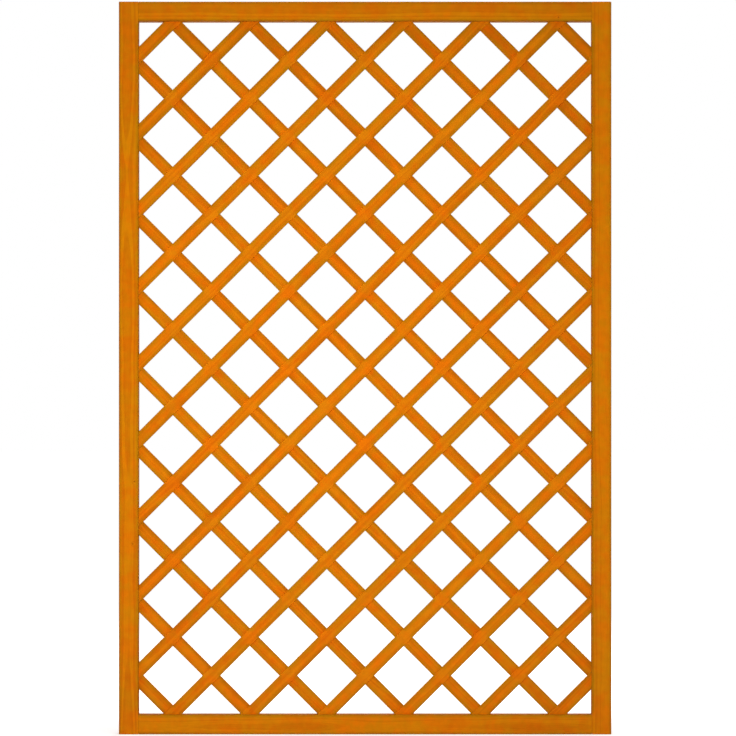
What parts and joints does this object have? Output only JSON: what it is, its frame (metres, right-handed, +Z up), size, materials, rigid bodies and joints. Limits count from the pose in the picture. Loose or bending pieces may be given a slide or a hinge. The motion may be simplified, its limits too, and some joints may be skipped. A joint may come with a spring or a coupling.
{
  "type": "fence panel",
  "caption": "Upright rectangular timber fence panel: grooved frame around an open diagonal lattice of crossed slats, for screening and climbing plants.",
  "frame": {"origin": "centre of the panel's underside, half way through its thickness", "axes": "+X to the right across the panel's width seen from the front, +Y from the front through to the back, +Z up"},
  "size_m": [1.21, 0.045, 1.8],
  "materials": {
    "frame_wood": "planed softwood under a satin orange stain",
    "lattice_wood": "planed softwood slats under a satin orange stain",
    "fixing_steel": "zinc plated steel"
  },
  "bodies": {
    "root": {"left_stile": "frame_wood", "right_stile": "frame_wood", "bottom_rail": "frame_wood", "top_rail": "frame_wood", "front_slat_middle": "lattice_wood", "front_slat_upper_1": "lattice_wood", "front_slat_upper_2": "lattice_wood", "front_slat_upper_3": "lattice_wood", "front_slat_upper_4": "lattice_wood", "front_slat_upper_5": "lattice_wood", "front_slat_upper_6": "lattice_wood", "front_slat_upper_7": "lattice_wood", "front_slat_lower_1": "lattice_wood", "front_slat_lower_2": "lattice_wood", "front_slat_lower_3": "lattice_wood", "front_slat_lower_4": "lattice_wood", "front_slat_lower_5": "lattice_wood", "front_slat_lower_6": "lattice_wood", "front_slat_lower_7": "lattice_wood", "back_slat_middle": "lattice_wood", "back_slat_upper_1": "lattice_wood", "back_slat_upper_2": "lattice_wood", "back_slat_upper_3": "lattice_wood", "back_slat_upper_4": "lattice_wood", "back_slat_upper_5": "lattice_wood", "back_slat_upper_6": "lattice_wood", "back_slat_upper_7": "lattice_wood", "back_slat_lower_1": "lattice_wood", "back_slat_lower_2": "lattice_wood", "back_slat_lower_3": "lattice_wood", "back_slat_lower_4": "lattice_wood", "back_slat_lower_5": "lattice_wood", "back_slat_lower_6": "lattice_wood", "back_slat_lower_7": "lattice_wood", "bottom_left_screw_1": "fixing_steel", "bottom_left_screw_2": "fixing_steel", "bottom_right_screw_1": "fixing_steel", "bottom_right_screw_2": "fixing_steel", "top_left_screw_1": "fixing_steel", "top_left_screw_2": "fixing_steel", "top_right_screw_1": "fixing_steel", "top_right_screw_2": "fixing_steel"}
  },
  "joints": []
}
